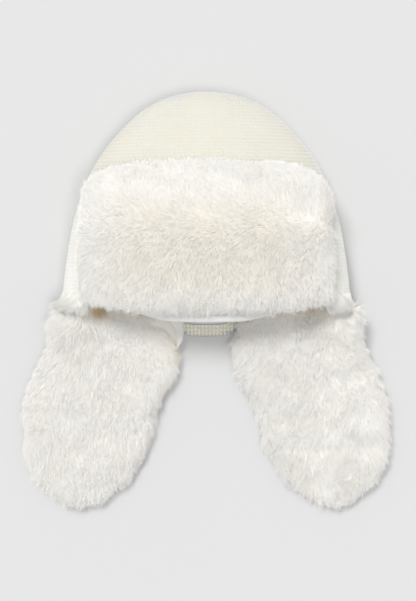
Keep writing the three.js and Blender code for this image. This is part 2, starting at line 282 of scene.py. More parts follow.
def pile_finish(name, root, middle, tip):
    """Fur from its root's colour to its tip's, warm to tan by its warmth; the tan is partly painted
    shade.
    """
    made, add, link = new_finish(name, roughness=0.8, sheen=0.1)
    along = add("ShaderNodeAttribute", attribute_name="along").outputs["Fac"]
    hair = three_colours(add, along, root, middle, tip)
    warmth = add("ShaderNodeAttribute", attribute_name="warmth").outputs["Fac"]
    patches = place_noise(add, PILE_PATCHES)
    uneven = add("ShaderNodeMath", {0: patches, 1: 0.25}, operation="MULTIPLY")
    warm = add("ShaderNodeMath", {0: warmth, 1: uneven.outputs[0]}, operation="ADD")
    tint_and_shade = three_colours(add, warm.outputs[0], (1, 1, 1), WARM_DYE, TAN_AND_CREASE_SHADE)
    values = {"Factor": 1, "A": hair, "B": tint_and_shade}
    both = add("ShaderNodeMix", values, data_type="RGBA", blend_type="MULTIPLY")
    link(both.outputs["Result"], "Base Color")
    return made


white_pile = pile_finish("white_pile", PILE_ROOT, PILE_MIDDLE, PILE_TIP)
rim_painted_shade_pile = pile_finish("rim_painted_shade_pile", RIM_PAINTED_SHADE, RIM_PAINTED_SHADE, RIM_PAINTED_SHADE)
# The pile's ground is darker than its hair: painted shade for the depth between the hairs.
pile_ground_painted_shade = yarn_finish("pile_ground_painted_shade", (0.8, 0.77, 0.71), (0.85, 0.83, 0.78))

# %% [markdown]
# ## Cloth walls
# The crown, the lining and the ear flaps' outer panels are cloth with a wall. A copy of each solid is
# merged, its triangles are joined to squares, and a subdivision surface rounds it. The copy keeps the
# wall, the rim and the place of the solid, which a new shape would have to be fitted to.


# %% Easing
def eased(values, low, high):
    """0 below low, 1 above high, and smooth between."""
    share = np.clip((values - low) / (high - low), 0, 1)
    return share * share * (3 - 2 * share)


# %% Smooth copies of the solids
def add_piece(name, mesh, finish, slot_name, *nodes):
    """Links a mesh as a piece of the hat that stands for the given nodes."""
    piece = linked(name, mesh)
    mesh.materials.append(finish)
    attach(piece, "root")
    if nodes:
        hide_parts(*nodes)
    return piece


def surface(piece):
    """A search tree of a piece's surface."""
    return BVHTree.FromObject(piece, bpy.context.evaluated_depsgraph_get())


def smooth_mesh(name, body):
    """A smooth mesh from a bmesh, which is freed."""
    mesh = bpy.data.meshes.new(name)
    body.to_mesh(mesh)
    body.free()
    mesh.shade_smooth()
    return mesh


def merged_copy(node):
    """A bmesh of a node's solid with its loose triangles merged."""
    body = bmesh.new()
    body.from_mesh(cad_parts[node].data)
    bmesh.ops.remove_doubles(body, verts=body.verts, dist=0.01 * MM)
    return body


def smooth_cloth(name, node, finish, slot_name, levels):
    """A rounded copy of a node's solid, as a piece that stands for it."""
    body = merged_copy(node)
    bmesh.ops.join_triangles(
        body,
        faces=body.faces,
        angle_face_threshold=math.radians(50),
        angle_shape_threshold=math.radians(60),
    )
    mesh = smooth_mesh(name, body)
    piece = add_piece(name, mesh, finish, slot_name, node)
    rounding = piece.modifiers.new("rounding", "SUBSURF")
    rounding.levels = rounding.render_levels = levels
    print(name, "has", len(mesh.polygons), "faces before rounding")
    return piece


crown_cloth = smooth_cloth("crown_cloth", "crown_knit", shaded_yarn, "cream_knit", 1)
smooth_cloth("lining_cloth", "lining", lining_painted_light_finish, "smooth_lining", 1)

# %% [markdown]
# ## Rolled fold
# The edge under the front flap's fringe is a soft roll of cloth. It hangs lowest at its middle and
# tucks up behind the fringe at both ends, so each point of the straight solid's copy moves along Y.

# %% Fold under the fringe
FOLD_SAG = 6 * MM
FOLD_TUCK = 5.5 * MM

fold_roll = smooth_cloth("fold_roll", "fold_band", fold_painted_shade_finish, "smooth_lining", 2)
for vertex in fold_roll.data.vertices:
    share = vertex.co.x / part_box("fold_band")[1].x
    vertex.co.y += FOLD_TUCK * eased(abs(share), 0.4, 0.75) - FOLD_SAG * (1 - share * share)
print("the fold spans", [round(v / MM) for v in fold_roll.dimensions], "mm")

# %% [markdown]
# ## Outer panels of the ear flaps
# Each ear flap's outer side is one knitted panel that lies on the floor. Nothing gathers or folds it,
# so it is cut as large as it lies.

ear_panels = {
    side: smooth_cloth(f"ear_panel_{side}", f"ear_knit_{side}", shaded_yarn, "cream_knit", 2)
    for side in ("left", "right")
}

# %% [markdown]
# ## Yarn
# A knitted stitch shows as a V of two short legs of yarn. Thousands of them make the crown, so one leg
# is a closed spindle of only eight triangles. Its copies are joined into one mesh by arrays of their
# places and turns, which is far quicker than an operator for every copy.


# %% Joined copies
def template_arrays(body):
    """A bmesh's corners and triangles as arrays. The bmesh is freed."""
    bmesh.ops.triangulate(body, faces=body.faces)
    bmesh.ops.recalc_face_normals(body, faces=body.faces)
    body.verts.ensure_lookup_table()
    corners = np.array([v.co for v in body.verts])
    triangles = np.array([[v.index for v in f.verts] for f in body.faces])
    body.free()
    return corners, triangles


def joined_copies(name, template, places, bases, bends=None):
    """One mesh with a copy of the template for each place. A basis turns and sizes a copy, and a bend
    moves its corners by the square of their height."""
    corners, triangles = template
    points = np.einsum("nij,vj->nvi", bases, corners) + places[:, None]
    if bends is not None:
        points += bends[:, None] * (corners[:, 2] ** 2)[None, :, None]
    starts = np.arange(len(places)) * len(corners)
    loops = (triangles[None] + starts[:, None, None]).reshape(-1)
    mesh = bpy.data.meshes.new(name)
    mesh.vertices.add(len(places) * len(corners))
    mesh.vertices.foreach_set("co", points.reshape(-1).astype(np.float32))
    mesh.loops.add(len(loops))
    mesh.loops.foreach_set("vertex_index", loops.astype(np.int32))
    mesh.polygons.add(len(loops) // 3)
    mesh.polygons.foreach_set("loop_start", np.arange(0, len(loops), 3, dtype=np.int32))
    mesh.update(calc_edges=True)
    mesh.shade_smooth()
    print(name, "has", len(places), "copies and", len(mesh.polygons), "triangles")
    return mesh


def unit(vectors):
    return vectors / np.maximum(np.linalg.norm(vectors, axis=-1, keepdims=True), 1e-9)


def along_basis(ways, normals, widths, depths):
    """Bases whose third axis runs along each way, with the second as near the normal as it can be."""
    aside = unit(np.cross(normals, ways))
    out = unit(np.cross(ways, aside))
    return np.stack([aside * widths[:, None], out * depths[:, None], ways], axis=2)


# %% One leg of a stitch
LEG_SIDES = 4
LEG_RINGS = 2

leg = bmesh.new()
bmesh.ops.create_uvsphere(leg, u_segments=LEG_SIDES, v_segments=LEG_RINGS, radius=0.5)
leg_template = template_arrays(leg)
print("one leg has", len(leg_template[1]), "triangles")

# %% [markdown]
# ## Levels of the crown
# The knitting is charted as a knitter would: rows run round the head, and wales run up in wedges, each
# parallel to its wedge's middle line until it meets the next wedge. Rays from outside find the surface
# at each level, and lengths are then measured along it.

# %% Chart of the crown
STITCH_PITCH = 3.3 * MM
CROWN_AXIS_HEIGHT = 26 * MM
RAY_START = 400 * MM
RAYS = 144
GORES = 6
FINE_STEP = 0.5 * MM
CLOSE_TO_TOP = 2 * MM

crown_tree = surface(crown_cloth)
ray_angles = np.linspace(0, 2 * math.pi, RAYS + 1) + math.pi / 2


def walked_along(line):
    """The length walked along a line at each of its points."""
    return np.concatenate([[0], np.cumsum(np.linalg.norm(np.diff(line, axis=0), axis=1))])


def at_lengths(lengths, walked, line):
    """What a line's points hold, at other lengths along it."""
    return np.stack([np.interp(lengths, walked, held) for held in np.transpose(line)], axis=1)


def crown_hit(angle, y):
    """The crown's outer surface at an angle about its axis: its place and its normal."""
    way = Vector((math.cos(angle), 0, math.sin(angle)))
    start = Vector((0, y, CROWN_AXIS_HEIGHT)) + way * RAY_START
    place, normal, _, _ = crown_tree.ray_cast(start, -way)
    return (place, normal) if place else None


def meridian_levels():
    """Levels along Y that lie one row of stitches apart on the front middle line."""
    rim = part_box("fold_band")[1].y
    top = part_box("crown_knit")[1].y
    last = top - np.geomspace(CLOSE_TO_TOP / MM, 0.15, 30) * MM
    fine = np.concatenate([np.arange(rim, top - CLOSE_TO_TOP, FINE_STEP), last])
    hits = [crown_hit(math.pi / 2, y) for y in fine]
    fine = np.array([y for y, hit in zip(fine, hits) if hit])
    line = np.array([hit[0] for hit in hits if hit])
    walked = walked_along(line)
    count = int(walked[-1] / STITCH_PITCH)
    return np.interp(np.arange(count) * STITCH_PITCH, walked, fine)


def ring_at(y):
    """The crown's section at one level: cumulative length, places and normals round it."""
    hits = [crown_hit(angle, y) for angle in ray_angles]
    if any(hit is None for hit in hits):
        return None
    places = np.array([hit[0] for hit in hits])
    normals = np.array([hit[1] for hit in hits])
    return walked_along(places), places, normals


rings = [ring for ring in (ring_at(y) for y in meridian_levels()) if ring]
nape_levels = np.arange(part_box("crown_knit")[0].y + STITCH_PITCH / 2, rings[0][1][0, 1], STITCH_PITCH)
lowest = rings[0]
for y in nape_levels[::-1]:
    places = lowest[1].copy()
    places[:, 1] = y
    rings.insert(0, (lowest[0], places, lowest[2]))
print("the crown has", len(rings), "rows of stitches,", len(nape_levels), "of them at the nape")


# %% Places of the stitches
def on_ring(ring, lengths):
    """Places and normals at lengths along a ring, which may run past its ends."""
    walked, places, normals = ring
    lengths = np.mod(lengths, walked[-1])
    return at_lengths(lengths, walked, places), unit(at_lengths(lengths, walked, normals))


def crown_stitches():
    """For each stitch: its foot, its head one row higher, its normal and its width."""
    found = []
    for ring, above in zip(rings, rings[1:]):
        perimeter, higher = ring[0][-1], above[0][-1]
        half = perimeter / GORES / 2
        count = max(1, round(half / STITCH_PITCH))
        offsets = (np.arange(-count, count) + 0.5) * STITCH_PITCH
        offsets = offsets[np.abs(offsets) < half]
        for gore in range(GORES):
            foot, normal = on_ring(ring, gore / GORES * perimeter + offsets)
            reach = np.clip(offsets, -higher / GORES / 2, higher / GORES / 2)
            head, _ = on_ring(above, gore / GORES * higher + reach)
            found.append(np.stack([foot, head, normal], axis=1))
    return np.concatenate(found)


ON_WALL = 1.2 * MM

stitches = crown_stitches()
off_wall = np.array([crown_tree.find_nearest(Vector(foot))[3] for foot in stitches[:, 0]])
stitches = stitches[off_wall < ON_WALL]
print("the crown has", len(stitches), "stitches")


# %% Legs of the stitches
LEG_WIDTH = 1.55 * MM
LEG_DEPTH = 1.1 * MM
LEG_STRETCH = 2.0 / 1.2
LEG_FOOT = 0.12
LEG_HEAD = 0.32
LEG_START = -0.12
LEG_END = 0.88
LEG_JITTER = 0.02 * MM


def stitch_legs(name, stitches, raise_by, seed, splay=1):
    """Both legs of every stitch, as one mesh. A small splay draws the legs together to a rib."""
    rng = np.random.default_rng(seed)
    foot, head, normal = stitches[:, 0], stitches[:, 1], stitches[:, 2]
    up = head - foot
    aside = unit(np.cross(up, normal)) * STITCH_PITCH
    parts = []
    for side in (-1, 1):
        low = foot + aside * side * LEG_FOOT * splay + up * LEG_START
        high = foot + aside * side * LEG_HEAD * splay + up * LEG_END
        parts.append(((low + high) / 2, (high - low) * LEG_STRETCH))
    places = np.concatenate([p[0] for p in parts])
    ways = np.concatenate([p[1] for p in parts])
    normals = np.concatenate([normal, normal])
    count = len(places)
    places = places + normals * (raise_by + rng.normal(0, LEG_JITTER, (count, 1)))
    ways = ways * rng.uniform(0.94, 1.06, (count, 1))
    widths = LEG_WIDTH * rng.uniform(0.92, 1.08, count)
    bases = along_basis(ways, normals, widths, np.full(count, LEG_DEPTH))
    return joined_copies(name, leg_template, places, bases)


# %% [markdown]
# ## Fur
# Imitation fur is a knitted ground with dense pile, sewn on as a soft pad. The front pad's backing is
# the side of its solid that lies on the crown, an ear pad's the upper side of its knitted panel. It is
# extruded with rounded edges, remeshed to one even skin and puffed up a little by a cloth simulation,
# so that the pad looks stuffed and not carved. Hair then grows from it.


# %% Arrays of a mesh
def read_points(mesh, what="co"):
    values = np.zeros(len(mesh.vertices) * 3)
    mesh.vertices.foreach_get(what, values)
    return values.reshape(-1, 3)


def write_points(mesh, points):
    mesh.vertices.foreach_set("co", points.reshape(-1).astype(np.float32))
    mesh.update()


def wavy(points, scale, seed):
    """A smooth random field from about -1 to 1, as a sum of a few slanted waves."""
    rng = np.random.default_rng(seed)
    total = np.zeros(len(points))
    for _ in range(5):
        way = unit(rng.normal(size=3)) / scale * rng.uniform(0.6, 1.6)
        total += np.sin(points @ way * 2 * math.pi + rng.uniform(0, 2 * math.pi))
    return total / 3


# %% The backing of a fur solid
def softened(body, rounds):
    """Smooths a bmesh a few times."""
    for _ in range(rounds):
        bmesh.ops.smooth_vert(
            body, verts=body.verts, factor=0.5, use_axis_x=True, use_axis_y=True, use_axis_z=True
        )
    body.normal_update()


def modified(body, kind, **settings):
    """A bmesh with a modifier applied to it. The one given is freed."""
    source = linked("modified", bpy.data.meshes.new("modified"))
    body.to_mesh(source.data)
    body.free()
    modifier = source.modifiers.new("made", kind)
    for key, value in settings.items():
        setattr(modifier, key, value)
    graph = bpy.context.evaluated_depsgraph_get()
    mesh = bpy.data.meshes.new_from_object(source.evaluated_get(graph))
    bpy.data.objects.remove(source)
    made = bmesh.new()
    made.from_mesh(mesh)
    bpy.data.meshes.remove(mesh)
    made.normal_update()
    return made


def backing(node, kept, turned):
    """The faces of a solid that kept() is true for, facing outwards, rounded and made finer."""
    body = merged_copy(node)
    body.normal_update()
    bmesh.ops.delete(body, geom=[face for face in body.faces if not kept(face)], context="FACES")
    if turned:
        bmesh.ops.reverse_faces(body, faces=body.faces)
    return modified(body, "SUBSURF", levels=2)


# %% A pad raised on its backing
SETTLE_ABOVE = 4 * MM
SETTLE_GAP = 0.5 * MM
UNDER_REACH = 12 * MM
CORNER_ASIDE = 88 * MM
CORNER_LOW = -6 * MM
CORNER_HEIGHT = 32 * MM
EDGE_SHARE = 0.25


def settle(points, tree):
    """Lays the points above the rim's level back on the surface under them."""
    for k, point in enumerate(points):
        place, normal, _, gap = tree.find_nearest(Vector(point))
        if point[1] > SETTLE_ABOVE and gap < UNDER_REACH:
            points[k] = place + normal * SETTLE_GAP


def meets_corner(place):
    """True where an ear flap's root lies against the corner of the crown's rim."""
    return abs(place.x) > CORNER_ASIDE and place.y > CORNER_LOW and place.z < CORNER_HEIGHT


def raised_pad(body, height, rounding, spread, under_tree):
    """Extrudes the backing to a pad with rounded edges. spread gives each point's sideways step."""
    edge = np.array([v.co for v in body.verts if v.is_boundary and not meets_corner(v.co)])
    base = np.array([v.co for v in body.verts])
    outward = unit(np.array([v.normal for v in body.verts]))
    inset = np.array([np.linalg.norm(edge - point, axis=1).min() for point in base])
    rounded = np.sqrt(1 - (1 - np.clip(inset / rounding, 0, 1)) ** 2)
    rise = height(base) * (EDGE_SHARE + (1 - EDGE_SHARE) * rounded)
    base = base + spread(base) * (1 - np.clip(inset / (2 * rounding), 0, 1))[:, None]
    settle(base, under_tree)
    for vertex, place in zip(body.verts, base):
        vertex.co = place
    body.verts.index_update()
    made = bmesh.ops.extrude_face_region(body, geom=body.faces[:])
    lifted = [item for item in made["geom"] if isinstance(item, bmesh.types.BMVert)]
    for vertex in lifted:
        nearest = int(np.linalg.norm(base - np.array(vertex.co), axis=1).argmin())
        vertex.co += Vector(outward[nearest] * rise[nearest])
    bmesh.ops.recalc_face_normals(body, faces=body.faces)
    return body


# %% Remeshing
def melted(body, name, voxel, rounds):
    """One even skin round a bmesh, smoothed. The bmesh is freed."""
    skin = modified(body, "REMESH", mode="VOXEL", voxel_size=voxel)
    softened(skin, rounds)
    return smooth_mesh(name, skin)


# %% Puffing by cloth simulation
PUFF_FRAMES = 20
PUFF_PRESSURE = 4
PUFF_CAP = 3 * MM


def puffed(mesh):
    """Inflates a closed mesh as cloth. No point moves further than the cap, which most reach."""
    scene = bpy.context.scene
    bag = linked("puffing", mesh)
    cloth = bag.modifiers.new("puff", "CLOTH")
    cloth.settings.use_pressure = True
    cloth.settings.uniform_pressure_force = PUFF_PRESSURE
    cloth.settings.effector_weights.gravity = 0
    cloth.point_cache.frame_end = PUFF_FRAMES
    for number in range(1, PUFF_FRAMES + 1):
        scene.frame_set(number)
    result = bag.evaluated_get(bpy.context.evaluated_depsgraph_get())
    before = read_points(mesh)
    step = read_points(result.data) - before
    length = np.linalg.norm(step, axis=1, keepdims=True)
    step *= np.minimum(1, PUFF_CAP / np.maximum(length, 1e-9))
    bpy.data.objects.remove(bag)
    scene.frame_set(1)
    write_points(mesh, before + step)
    print(mesh.name, "puffed by", round(float(np.linalg.norm(step, axis=1).mean()) / MM, 2), "mm")


def kept_clear(mesh, tree, gap):
    """Moves the points that are nearer than the gap to another piece, or in it, out of it."""
    points = read_points(mesh)
    for k, point in enumerate(points):
        place, normal, _, _ = tree.find_nearest(Vector(point))
        depth = (Vector(point) - place).dot(normal)
        if depth < gap and (Vector(point) - place).length < UNDER_REACH:
            points[k] = point + np.array(normal) * (gap - depth)
    write_points(mesh, points)


# %% [markdown]
# ## The three pads
# One function makes all three, from a height and a sideways spread at each point. The front pad thins
# out towards its top. The ear pads bulge at their tip and outer side, as their outline shows, and
# stand higher at the root, where they close the corner to the crown.

# %% One pad
VOXEL = 4.5 * MM
SOFTENINGS = 5
LUMP_HEIGHT = 0.9 * MM
LUMP_WIDTH = 30 * MM
EDGE_ROUNDING = 13 * MM
PAD_GAP = 0.4 * MM


def fur_ground(name, node, patch, under, forms, seed):
    """A pad for a fur node, on a patch of backing. Its forms are its height and its spread."""
    height, spread = forms
    under_tree = surface(under)
    body = raised_pad(patch, height, EDGE_ROUNDING, spread, under_tree)
    mesh = melted(body, name, VOXEL, SOFTENINGS)
    puffed(mesh)
    points = read_points(mesh)
    lumps = wavy(points, LUMP_WIDTH, seed) + 0.5 * wavy(points, LUMP_WIDTH / 2.2, seed + 1)
    write_points(mesh, points + read_points(mesh, "normal") * (lumps * LUMP_HEIGHT)[:, None])
    kept_clear(mesh, under_tree, PAD_GAP)
    kept_clear(mesh, crown_tree, PAD_GAP)
    mesh.shade_smooth()
    piece = add_piece(name, mesh, pile_ground_painted_shade, "white_fur", node)
    spans = np.ptp(read_points(mesh), axis=0) / MM
    print(name, "has", len(mesh.polygons), "faces and spans", np.round(spans), "mm")
    return piece


# %% Forms of the front pad
FRONT_PAD = 12 * MM
FRONT_THINNING = 0.45
FRONT_SPREAD = {"side": 7.5 * MM, "top": 24 * MM, "fringe": 12 * MM}

front_low, front_high = (np.array(corner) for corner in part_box("front_flap_fur"))
front_centre = (front_low + front_high)[:2] / 2
front_reach = (front_high - front_low)[:2] / 2


def flap_shares(places):
    """Where places lie on the front flap: -1 to 1 across it, and from its fringe to its top."""
    return ((places[:, :2] - front_centre) / front_reach).T


def front_spread(points):
    """How far the pile's edge lies past the backing's: most at the middle of the top and the fringe."""
    u, v = flap_shares(points)
    middle = 1 - 0.35 * eased(np.abs(u), 0.5, 1)
    along = np.where(v > 0, v * FRONT_SPREAD["top"], v * FRONT_SPREAD["fringe"]) * middle
    return np.stack([u * FRONT_SPREAD["side"], along, np.zeros(len(points))], axis=1)


def front_height(points):
    """The flap thins out towards its upper edge, which lies close to the crown."""
    return FRONT_PAD * (1 - FRONT_THINNING * eased(flap_shares(points)[1], 0.3, 0.95))


# %% Forms of the ear pads
EAR_PAD = 11 * MM
EAR_ROOT_RISE = 11 * MM
EAR_ROOT_MIDDLE = 76 * MM
EAR_TIP_MIDDLE = 114 * MM
EAR_TIP_CENTRE = 122 * MM
EAR_REACH = 130 * MM
EAR_SIDE_STEP = 2.5 * MM
EAR_TIP_STEP = 15.5 * MM
OUTER_STEPS = ((60, 45, 7),)
INNER_STEPS = ((12, 16, 8), (40, 18, -2.5), (85, 25, -3), (132, 26, 5))
OUTWARD = {"left": -1, "right": 1}


def ear_middle(side, places):
    """Where a flap's middle line lies across the hat beside each place, and how far down that is."""
    share = eased(-places[:, 1], 0, EAR_REACH)
    return OUTWARD[side] * (EAR_ROOT_MIDDLE + (EAR_TIP_MIDDLE - EAR_ROOT_MIDDLE) * share), share


def bulges(down, steps):
    """Steps along the flap, each given as its level, its reach and its size in millimetres."""
    return sum(size * MM * np.exp(-(((down / MM - level) / reach) ** 2)) for level, reach, size in steps)


def ear_spread(side):
    """The spread of one ear flap, as a function of its points."""
    outward = OUTWARD[side]

    def spread(points):
        """Away from the flap's middle line, by steps that differ on its outer and inner side."""
        down = -points[:, 1]
        middle, _ = ear_middle(side, points)
        core = np.stack([middle, np.maximum(points[:, 1], -EAR_TIP_CENTRE)], axis=1)
        way = unit(points[:, :2] - core)
        tip = np.clip(-way[:, 1], 0, 1)
        outer = np.clip(way[:, 0] * outward, 0, 1)
        inner = np.clip(-way[:, 0] * outward, 0, 1)
        step = EAR_SIDE_STEP + EAR_TIP_STEP * tip**4
        step += outer * bulges(down, OUTER_STEPS) + inner * bulges(down, INNER_STEPS)
        return np.concatenate([way * step[:, None], np.zeros((len(points), 1))], axis=1)

    return spread


def ear_height(points):
    """The pile stands higher at the root, where it closes the corner between flap and crown."""
    at_root = eased(points[:, 1], -40 * MM, -2 * MM)
    aside = eased(np.abs(points[:, 0]), 55 * MM, 115 * MM)
    return EAR_PAD + EAR_ROOT_RISE * at_root * aside


# %% Making the pads
def lies_on_crown(face):
    """True for a face that lies against the crown."""
    _, normal, _, gap = crown_tree.find_nearest(face.calc_center_median())
    return gap < 3 * MM and face.normal.dot(normal) < -0.7


def faces_up(face):
    """True for a face on the upper side."""
    return face.normal.z > 0.4


patch = backing("front_flap_fur", lies_on_crown, turned=True)
forms = (front_height, front_spread)
front_ground = fur_ground("front_flap_ground", "front_flap_fur", patch, crown_cloth, forms, 51)
ear_grounds = {}
for side, panel in ear_panels.items():
    patch = backing(f"ear_knit_{side}", faces_up, turned=False)
    forms = (ear_height, ear_spread(side))
    ear_grounds[side] = fur_ground(f"ear_ground_{side}", f"ear_fur_{side}", patch, panel, forms, 53)

# %% [markdown]
# ## Stitches
# The front flap hides over a quarter of the crown's stitches. Those are found by a ray from each stitch
# outwards, and are left out, which keeps the mesh light.

# %% Stitches of the crown
front_tree = surface(front_ground)
covered = np.array([
    front_tree.ray_cast(Vector(foot), Vector(normal), 60 * MM)[0] is not None
    for foot, _, normal in stitches
])
crown_mesh = stitch_legs("crown_stitches", stitches[~covered], -0.15 * MM, 3)
add_piece("crown_stitches", crown_mesh, cream_yarn, "cream_knit")

# %% [markdown]
# ## Hem of the nape
# Inside the nape the lining ends above a knitted hem with upright ribs. The legs of a stitch are drawn
# together there, so that each column of them reads as a rib. Rays from above find the hem's surface.

# %% Ribs of the hem
RIB_ROWS = 4
RIB_REACH = 12
RIB_SPLAY = 0.45
RIB_STEPS = (0.12, 1.12)
ABOVE_HEM = 30 * MM

nape_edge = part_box("crown_knit")[0].y
rib_places = []
for x in np.arange(-RIB_REACH, RIB_REACH + 1) * STITCH_PITCH:
    for row in range(RIB_ROWS):
        levels = [nape_edge + (row + step) * STITCH_PITCH for step in RIB_STEPS]
        hits = [crown_tree.ray_cast(Vector((x, y, ABOVE_HEM)), Vector((0, 0, -1))) for y in levels]
        if all(hit[0] for hit in hits):
            rib_places.append([hits[0][0], hits[1][0], hits[0][1]])
hem_mesh = stitch_legs("hem_stitches", np.array(rib_places), -0.1 * MM, 4, splay=RIB_SPLAY)
add_piece("hem_stitches", hem_mesh, hem_painted_light_yarn, "cream_knit")

# %% [markdown]
# ## Knitting of the outer panels
# The ear flaps' outer sides face the floor and show only at their rims and from below. They get the
# same stitches in straight rows.

# %% Stitches of the outer panels
PANEL_LEAN = 0.22
PANEL_ROWS = 32
PANEL_COLUMNS = 24
BELOW_PANEL = 50 * MM
RAY_LENGTH = 120 * MM

for side in ("left", "right"):
    lean = -OUTWARD[side] * PANEL_LEAN
    tree = surface(ear_panels[side])
    low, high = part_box(f"ear_knit_{side}")
    up = np.array([-lean, 1, 0]) / math.hypot(lean, 1) * STITCH_PITCH
    aside = np.array([up[1], -up[0], 0])
    middle = np.array([(low.x + high.x) / 2, (low.y + high.y) / 2, -BELOW_PANEL])
    found = []
    for row in range(-PANEL_ROWS, PANEL_ROWS + 1):
        for column in range(-PANEL_COLUMNS, PANEL_COLUMNS + 1):
            foot = middle + up * row + aside * column
            place, normal, _, _ = tree.ray_cast(Vector(foot), Vector((0, 0, 1)), RAY_LENGTH)
            above, _, _, _ = tree.ray_cast(Vector(foot + up), Vector((0, 0, 1)), RAY_LENGTH)
            if place and above and normal.z < -0.5:
                found.append([place, above, normal])
    mesh = stitch_legs(f"ear_stitches_{side}", np.array(found), -0.3 * MM, 5)
    add_piece(f"ear_stitches_{side}", mesh, cream_yarn, "cream_knit")

# %% [markdown]
# ## Bound seam
# Where the left ear flap's root meets the nape, the fur's backing is folded under and bound with the
# lining's cloth, and two soft rolls of it lie side by side. Each is a cylinder of many rings, whose
# rings are then moved onto a path.


# %% A roll along a path
ROLL_SIDES = 12
ROLL_RINGS = 20
ROLL_FLATNESS = 0.45
ROLL_TAPER = 0.85


def roll_along(name, path, radius, seed):
    """A soft closed roll that follows the points of a path, thinner at both ends."""
    body = bmesh.new()
    bmesh.ops.create_cone(body, cap_ends=True, segments=ROLL_SIDES, radius1=1, radius2=1, depth=1)
    lengthwise = [e for e in body.edges if abs(e.verts[0].co.z - e.verts[1].co.z) > 0.5]
    bmesh.ops.subdivide_edges(body, edges=lengthwise, cuts=ROLL_RINGS)
    path = np.array(path) * MM
    walked = walked_along(path)
    corners = np.array([v.co for v in body.verts])
    length = (corners[:, 2] + 0.5) * walked[-1]
    place = at_lengths(length, walked, path)
    way = unit(at_lengths(length + 1 * MM, walked, path) - at_lengths(length - 1 * MM, walked, path))
    aside = unit(np.cross(way, [0, 0, 1]))
    above = unit(np.cross(aside, way))
    end = np.sqrt(1 - np.clip(np.abs(corners[:, 2]) * 2, 0, 0.98) ** 4)
    uneven = 1 + 0.1 * wavy(place, 12 * MM, seed)
    size = radius * end * uneven * (1 - ROLL_TAPER * (corners[:, 2] + 0.5))
    points = place + (aside * corners[:, :1] + above * corners[:, 1:2] * ROLL_FLATNESS) * size[:, None]
    for vertex, point in zip(body.verts, points):
        vertex.co = point
    bmesh.ops.recalc_face_normals(body, faces=body.faces)
    piece = add_piece(name, smooth_mesh(name, body), binding_finish, "smooth_lining")
    rounding = piece.modifiers.new("rounding", "SUBSURF")
    rounding.levels = rounding.render_levels = 1
    return piece


# %% The two rolls
OUTER_RADIUS = 10.5 * MM
INNER_RADIUS = 10 * MM
OUTER_ROLL = [(-51, -9), (-44, -15), (-37.5, -20), (-32.5, -27), (-30, -36), (-29, -44)]
INNER_ROLL = [(-33, -8), (-29.5, -14.7), (-26.5, -20), (-24.5, -27), (-24.5, -36), (-26.5, -43)]


def laid_on(tree, path):
    """The points of a path dropped onto a pad, or level with its nearest point beside it."""
    laid = []
    for x, y in path:
        place = tree.ray_cast(Vector((x, y, 100)) * MM, Vector((0, 0, -1)))[0]
        place = place or tree.find_nearest(Vector((x, y, 20)) * MM)[0]
        laid.append((x, y, place.z / MM - 0.5))
    return laid


left_pad = surface(ear_grounds["left"])
roll_along("root_binding_outer", laid_on(left_pad, OUTER_ROLL), OUTER_RADIUS, 71)
roll_along("root_binding_inner", laid_on(left_pad, INNER_ROLL), INNER_RADIUS, 72)

# %% [markdown]
# ## Hair
# The short down is a closed spike of four triangles, and there are many thousands of them. The longer
# guard hairs have a ring halfway, so that they can bend. Normals of both lean towards the ground's, as
# light scatters from hair to hair in real fur and evens out what a single hair would show.

# %% One hair of each kind
down = bmesh.new()
bmesh.ops.create_cone(down, cap_ends=True, segments=3, radius1=0.5, radius2=0, depth=1)
bmesh.ops.translate(down, verts=down.verts, vec=(0, 0, 0.5))
bmesh.ops.remove_doubles(down, verts=down.verts, dist=1e-4)

guard = down.copy()
whole = guard.verts[:] + guard.edges[:] + guard.faces[:]
bmesh.ops.bisect_plane(guard, geom=whole, plane_co=(0, 0, 0.5), plane_no=(0, 0, 1))
middle = [v for v in guard.verts if 0.4 < v.co.z < 0.6]
bmesh.ops.scale(guard, verts=middle, vec=(1.7, 1.7, 1))
DOWN = template_arrays(down)
GUARD = template_arrays(guard)
print("a down hair has", len(DOWN[1]), "triangles, a guard hair", len(GUARD[1]))


# %% Roots
def scattered(mesh, count, rng):
    """Random places on a mesh, with their smooth normals."""
    mesh.calc_loop_triangles()
    points, normals = read_points(mesh), read_points(mesh, "normal")
    corners = np.zeros(len(mesh.loop_triangles) * 3, np.int32)
    mesh.loop_triangles.foreach_get("vertices", corners)
    corners = corners.reshape(-1, 3)
    a, b, c = (points[corners[:, k]] for k in range(3))
    areas = np.linalg.norm(np.cross(b - a, c - a), axis=1)
    chosen = rng.choice(len(corners), count, p=areas / areas.sum())
    share = rng.random((count, 2))
    over = share.sum(1) > 1
    share[over] = 1 - share[over]
    weights = np.stack([1 - share.sum(1), share[:, 0], share[:, 1]], axis=1)
    place = np.einsum("nk,nkj->nj", weights, points[corners[chosen]])
    normal = unit(np.einsum("nk,nkj->nj", weights, normals[corners[chosen]]))
    return place, normal


# %% Tufts
TUFT_SPACING = 6 * MM


def level_steps(across, along):
    """Steps across and along the hat, level with the floor."""
    return np.stack([across, along, np.zeros(len(across))], axis=1)


def tufts(places, rng, pull):
    """A small lean of each hair towards the middle of its tuft."""
    low, high = places.min(0)[:2], places.max(0)[:2]
    count = max(8, int(np.prod((high - low) / TUFT_SPACING)))
    centres = rng.uniform(low, high, (count, 2))
    best = np.zeros(len(places), np.int64)
    nearest = np.full(len(places), 1e9)
    for k, centre in enumerate(centres):
        gap = np.sum((places[:, :2] - centre) ** 2, axis=1)
        closer = gap < nearest
        best[closer] = k
        nearest[closer] = gap[closer]
    lean = (centres[best] - places[:, :2]) / TUFT_SPACING * pull
    return level_steps(*lean.T)


# %% [markdown]
# A hair leans the way it is combed, turned and shifted by slow waves and pulled to its tuft. None
# stands quite upright, because light falls straight down between upright hairs and makes a bright
# patch. Tips that would pass through the floor are bent up.

